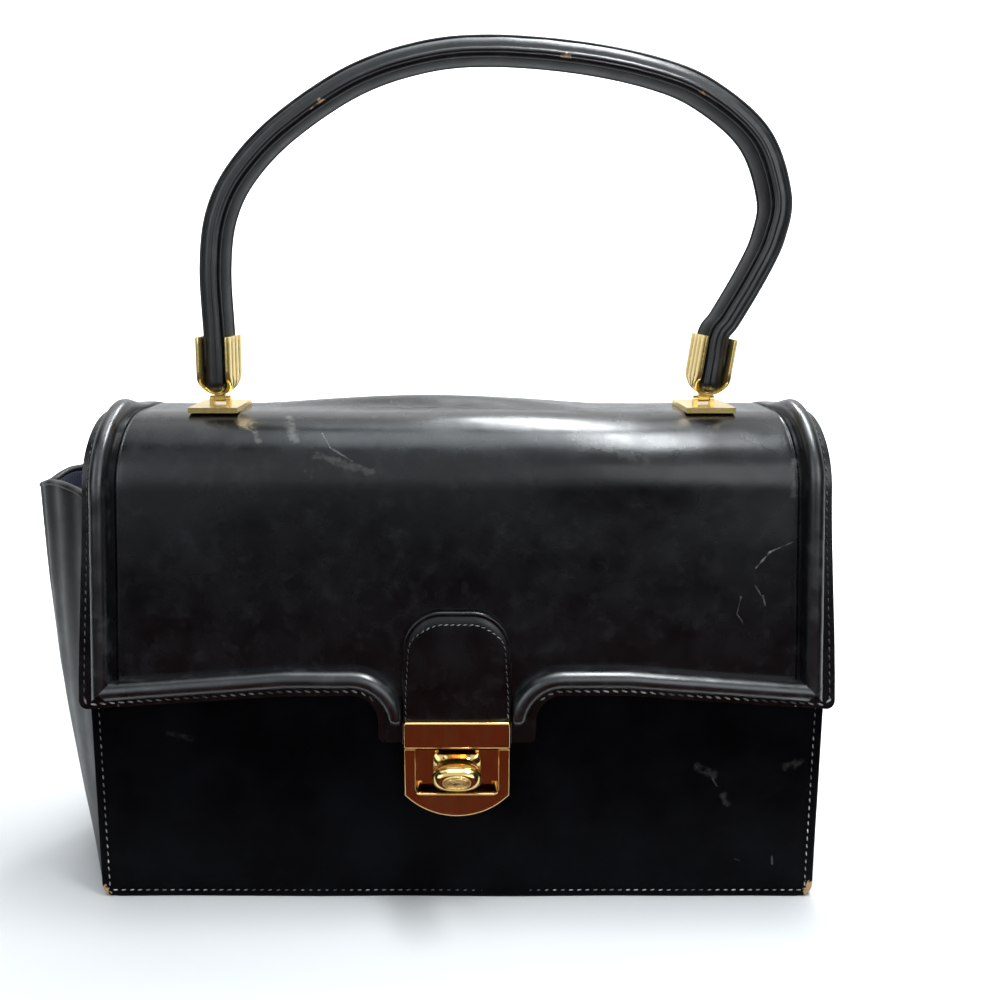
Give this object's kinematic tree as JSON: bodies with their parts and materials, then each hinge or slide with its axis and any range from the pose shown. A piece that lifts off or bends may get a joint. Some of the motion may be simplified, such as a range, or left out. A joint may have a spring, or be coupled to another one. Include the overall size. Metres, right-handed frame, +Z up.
{
  "type": "top handle handbag",
  "caption": "structured leather flap bag with rolled welts, fan gussets, a push-down slide lock and a rolled top handle pivoting in reeded metal cups",
  "frame": {"origin": "middle of the underside of the base, on the surface that the bag stands on", "axes": "X runs to the right as seen from the front, Y from the front to the back, Z up"},
  "size_m": [0.2979, 0.0914, 0.314],
  "materials": {
    "black_calf": "polished box calf, blue-black, worn to tan at the lower corners",
    "navy_lining": "matt woven lining",
    "fibreboard": "unfinished pressed fibreboard",
    "handle_filler": "undyed leather filler",
    "gilt_brass": "polished pale gilt plate",
    "spring_steel": "plain drawn steel"
  },
  "bodies": {
    "body": {"front_panel": "black_calf", "front_board": "fibreboard", "front_lining": "navy_lining", "back_panel": "black_calf", "back_board": "fibreboard", "back_lining": "navy_lining", "base_panel": "black_calf", "base_board": "fibreboard", "base_lining": "navy_lining", "gusset_left": "black_calf", "gusset_right": "black_calf", "gusset_lining_left": "navy_lining", "gusset_lining_right": "navy_lining", "slip_pocket": "navy_lining", "hinge_fold": "black_calf", "lock_frame": "gilt_brass", "lock_backplate": "gilt_brass", "lock_rivets": "gilt_brass", "latch_spring": "spring_steel"},
    "flap": {"flap_leather": "black_calf", "flap_board": "fibreboard", "flap_lining": "navy_lining", "bead_left": "black_calf", "bead_right": "black_calf", "bead_lower_left": "black_calf", "bead_lower_right": "black_calf", "lock_tab": "black_calf", "tab_bar": "gilt_brass", "bar_rivets": "gilt_brass", "catch_tongue": "gilt_brass", "handle_plate_left": "gilt_brass", "handle_plate_right": "gilt_brass", "plate_studs": "gilt_brass", "plate_washers": "spring_steel", "neck_pins": "gilt_brass"},
    "latch": {"slide_plate": "gilt_brass", "latch_knob": "gilt_brass", "knob_stem": "gilt_brass"},
    "handle": {"handle_cover": "black_calf", "handle_core": "handle_filler", "handle_lining": "black_calf", "handle_welt_front": "black_calf", "handle_welt_back": "black_calf", "cup_left": "gilt_brass", "cup_right": "gilt_brass"}
  },
  "joints": [
    {"name": "flap_hinge", "type": "hinge", "parent": "body", "child": "flap", "pos_m": [0, 0.031, 0.17001], "axis": [-1, 0, 0], "range_deg": [0, 115]},
    {"name": "handle_swing", "type": "hinge", "parent": "flap", "child": "handle", "pos_m": [0, -0.0037, 0.181], "axis": [1, 0, 0], "range_deg": [-40, 40]},
    {"name": "latch_slide", "type": "slide", "parent": "body", "child": "latch", "axis": [0, 0, -1], "range_m": [0, 0.0025], "stiffness_N_per_m": 300, "springref_m": -0.002, "deforming": ["latch_spring"]}
  ]
}
